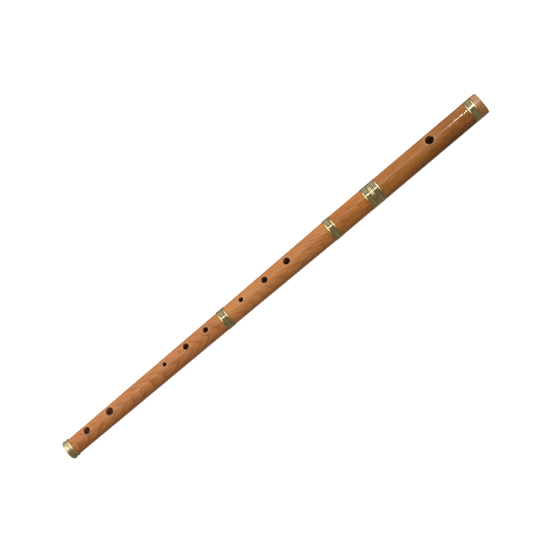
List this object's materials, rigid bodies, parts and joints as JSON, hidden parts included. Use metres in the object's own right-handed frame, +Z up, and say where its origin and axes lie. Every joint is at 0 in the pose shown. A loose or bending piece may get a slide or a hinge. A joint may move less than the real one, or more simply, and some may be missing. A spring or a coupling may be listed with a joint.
{
  "type": "keyless wooden transverse flute",
  "caption": "Conical-bore wooden transverse flute in turned joints with brass ferrules, a tuning slide and a screw stopper.",
  "frame": {"origin": "centre of the bounding box's bottom, under the flute's axis halfway between crown and foot", "axes": "+X along the flute from foot to crown, +Z up through the embouchure and finger holes, +Y the far side"},
  "size_m": [0.627, 0.029, 0.029],
  "materials": {
    "wood": "varnished orange-brown rosewood, glossy",
    "ferrule_brass": "turned and polished brass",
    "tube_brass": "drawn brass tube and turned brass, satin",
    "cork": "natural cork, greased, matt"
  },
  "bodies": {
    "upper_body": {"upper_body": "wood", "upper_tenon_cork": "cork", "lower_tenon_cork": "cork"},
    "lower_body": {"lower_body": "wood", "lower_body_ferrule": "ferrule_brass", "foot_ring": "ferrule_brass"},
    "barrel": {"barrel": "wood", "barrel_upper_ferrule": "ferrule_brass", "barrel_lower_ferrule": "ferrule_brass", "barrel_slide_tube": "tube_brass"},
    "head": {"head_joint": "wood", "head_slide_tube": "tube_brass", "head_ferrule": "ferrule_brass", "crown_ferrule": "ferrule_brass"},
    "crown": {"crown_cap": "wood", "stopper_screw": "tube_brass"},
    "stopper": {"stopper_cork": "cork", "stopper_nut": "tube_brass", "stopper_face": "tube_brass", "stopper_back_plate": "tube_brass"}
  },
  "joints": [
    {"name": "barrel_turn", "type": "hinge", "parent": "upper_body", "child": "barrel", "pos_m": [0.0847, 0, 0.0145], "axis": [1, 0, 0], "continuous": true},
    {"name": "lower_body_turn", "type": "hinge", "parent": "upper_body", "child": "lower_body", "pos_m": [-0.0662, 0, 0.0145], "axis": [1, 0, 0], "continuous": true},
    {"name": "head_slide", "type": "slide", "parent": "barrel", "child": "head", "axis": [1, 0, 0], "range_m": [0, 0.025]},
    {"name": "cork_travel", "type": "slide", "parent": "head", "child": "stopper", "axis": [1, 0, 0], "range_m": [-0.004, 0.004]},
    {"name": "crown_turn", "type": "hinge", "parent": "head", "child": "crown", "pos_m": [0.3044, 0, 0.0145], "axis": [1, 0, 0], "range_deg": [-961, 961]}
  ],
  "couplings": [
    {"joint": "crown_turn", "follows": "cork_travel", "rad_per_m": -4188.8}
  ]
}
